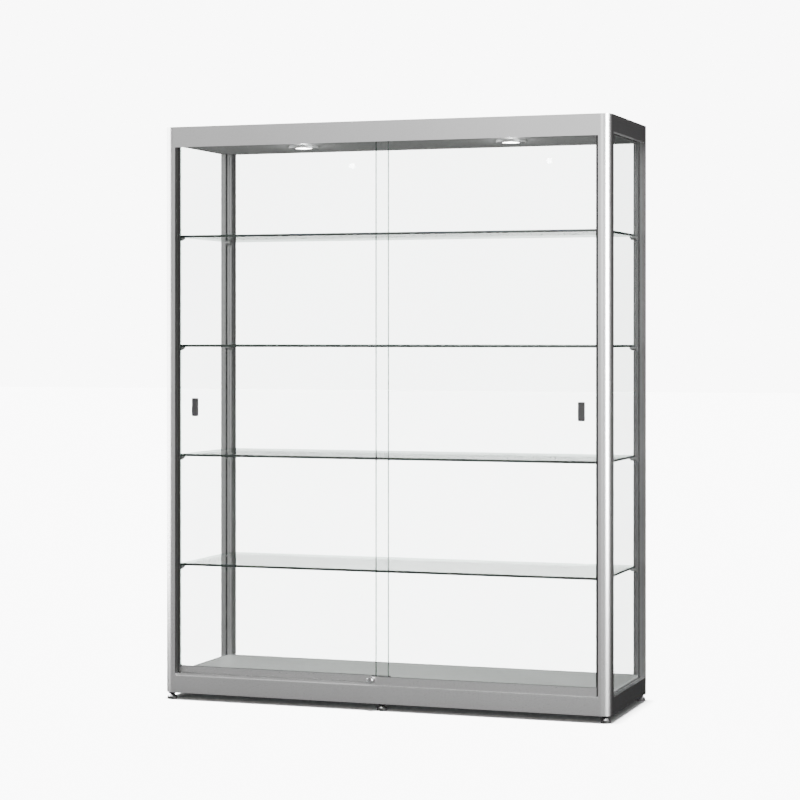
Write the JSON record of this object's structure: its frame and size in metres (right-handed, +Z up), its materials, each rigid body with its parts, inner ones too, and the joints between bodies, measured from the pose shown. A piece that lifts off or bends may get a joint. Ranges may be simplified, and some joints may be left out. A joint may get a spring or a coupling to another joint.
{
  "type": "floor-standing glass display cabinet",
  "caption": "Tall aluminium-framed glass display cabinet with sliding front doors, glass shelves, ceiling lights, a door lock and levelling feet.",
  "frame": {"origin": "middle of the footprint, on the floor under the feet", "axes": "+X to the right seen from the door side, +Y from the doors to the back, +Z up"},
  "size_m": [1.508, 0.518, 1.88],
  "materials": {
    "anodised_aluminium": "natural anodised, satin",
    "satin_silver_panel": "satin silver composite sheet",
    "pane_glass": "clear, polished edges",
    "shelf_glass": "clear with dark green polished edges",
    "black_pvc": "matt black",
    "grey_pvc": "matt grey",
    "grey_plastic": "dark grey, matt",
    "zinc_steel": "zinc plated",
    "black_steel": "black, satin",
    "clip_metal": "satin plated",
    "white_nylon": "natural nylon",
    "bright_chrome": "polished",
    "dark_lamp_metal": "dark grey satin",
    "lamp_lens": "translucent white",
    "white_plastic": "white",
    "black_cable": "matt black"
  },
  "bodies": {
    "frame": {"post_front_left": "anodised_aluminium", "post_front_right": "anodised_aluminium", "post_rear_left": "anodised_aluminium", "post_rear_right": "anodised_aluminium", "post_caps": "anodised_aluminium", "base_rail_left": "anodised_aluminium", "base_rail_right": "anodised_aluminium", "base_rail_rear": "anodised_aluminium", "base_rail_front": "anodised_aluminium", "top_rail_left": "anodised_aluminium", "top_rail_right": "anodised_aluminium", "top_rail_rear": "anodised_aluminium", "top_rail_front": "anodised_aluminium", "corner_brackets": "zinc_steel", "bracket_screws": "zinc_steel", "floor_panel": "satin_silver_panel", "ceiling_panel": "satin_silver_panel", "roof_panel": "satin_silver_panel", "side_glass_left": "pane_glass", "side_glass_right": "pane_glass", "rear_glass": "pane_glass", "glazing_gaskets": "grey_pvc", "lower_door_track": "anodised_aluminium", "upper_door_track": "anodised_aluminium", "door_jamb_left": "black_pvc", "door_jamb_right": "black_pvc", "shelf_1": "shelf_glass", "shelf_2": "shelf_glass", "shelf_3": "shelf_glass", "shelf_4": "shelf_glass", "shelf_supports": "clip_metal", "foot_nuts": "black_steel", "foot_inserts": "zinc_steel", "led_bezels": "dark_lamp_metal", "led_lenses": "lamp_lens", "led_bodies": "dark_lamp_metal", "led_driver": "white_plastic", "led_cables": "black_cable", "mains_gland": "black_pvc"},
    "left_door": {"left_door_rail": "anodised_aluminium", "left_door_glass": "pane_glass", "left_door_end_caps": "black_pvc", "left_door_pull": "grey_plastic"},
    "right_door": {"right_door_rail": "anodised_aluminium", "right_door_glass": "pane_glass", "right_door_end_caps": "black_pvc", "right_door_pull": "grey_plastic", "lock_housing": "bright_chrome"},
    "left_door_roller_1": {"left_door_roller_1": "white_nylon"},
    "left_door_roller_2": {"left_door_roller_2": "white_nylon"},
    "right_door_roller_1": {"right_door_roller_1": "white_nylon"},
    "right_door_roller_2": {"right_door_roller_2": "white_nylon"},
    "lock_plunger": {"lock_plunger": "bright_chrome"},
    "lock_plug": {"lock_plug": "bright_chrome"},
    "foot_front_left": {"foot_front_left": "bright_chrome"},
    "foot_front_middle": {"foot_front_middle": "bright_chrome"},
    "foot_front_right": {"foot_front_right": "bright_chrome"},
    "foot_rear_left": {"foot_rear_left": "bright_chrome"},
    "foot_rear_middle": {"foot_rear_middle": "bright_chrome"},
    "foot_rear_right": {"foot_rear_right": "bright_chrome"}
  },
  "joints": [
    {"name": "left_door_slide", "type": "slide", "parent": "frame", "child": "left_door", "axis": [1, 0, 0], "range_m": [0, 0.685]},
    {"name": "right_door_slide", "type": "slide", "parent": "frame", "child": "right_door", "axis": [1, 0, 0], "range_m": [-0.65, 0]},
    {"name": "left_door_roller_1_spin", "type": "hinge", "parent": "left_door", "child": "left_door_roller_1", "pos_m": [-0.651, -0.218, 0.09], "axis": [0, 1, 0], "continuous": true},
    {"name": "left_door_roller_2_spin", "type": "hinge", "parent": "left_door", "child": "left_door_roller_2", "pos_m": [-0.042, -0.218, 0.09], "axis": [0, 1, 0], "continuous": true},
    {"name": "right_door_roller_1_spin", "type": "hinge", "parent": "right_door", "child": "right_door_roller_1", "pos_m": [0.042, -0.241, 0.09], "axis": [0, 1, 0], "continuous": true},
    {"name": "right_door_roller_2_spin", "type": "hinge", "parent": "right_door", "child": "right_door_roller_2", "pos_m": [0.651, -0.241, 0.09], "axis": [0, 1, 0], "continuous": true},
    {"name": "lock_push", "type": "slide", "parent": "right_door", "child": "lock_plunger", "axis": [0, 1, 0], "range_m": [0, 0.012]},
    {"name": "lock_turn", "type": "hinge", "parent": "lock_plunger", "child": "lock_plug", "pos_m": [-0.031, -0.255, 0.098], "axis": [0, 1, 0], "range_deg": [0, 90]},
    {"name": "foot_front_left_adjust", "type": "slide", "parent": "frame", "child": "foot_front_left", "axis": [0, 0, -1], "range_m": [0, 0.012]},
    {"name": "foot_front_middle_adjust", "type": "slide", "parent": "frame", "child": "foot_front_middle", "axis": [0, 0, -1], "range_m": [0, 0.012]},
    {"name": "foot_front_right_adjust", "type": "slide", "parent": "frame", "child": "foot_front_right", "axis": [0, 0, -1], "range_m": [0, 0.012]},
    {"name": "foot_rear_left_adjust", "type": "slide", "parent": "frame", "child": "foot_rear_left", "axis": [0, 0, -1], "range_m": [0, 0.012]},
    {"name": "foot_rear_middle_adjust", "type": "slide", "parent": "frame", "child": "foot_rear_middle", "axis": [0, 0, -1], "range_m": [0, 0.012]},
    {"name": "foot_rear_right_adjust", "type": "slide", "parent": "frame", "child": "foot_rear_right", "axis": [0, 0, -1], "range_m": [0, 0.012]}
  ],
  "couplings": [
    {"joint": "left_door_roller_1_spin", "follows": "left_door_slide", "rad_per_m": 250},
    {"joint": "left_door_roller_2_spin", "follows": "left_door_slide", "rad_per_m": 250},
    {"joint": "right_door_roller_1_spin", "follows": "right_door_slide", "rad_per_m": 250},
    {"joint": "right_door_roller_2_spin", "follows": "right_door_slide", "rad_per_m": 250}
  ]
}
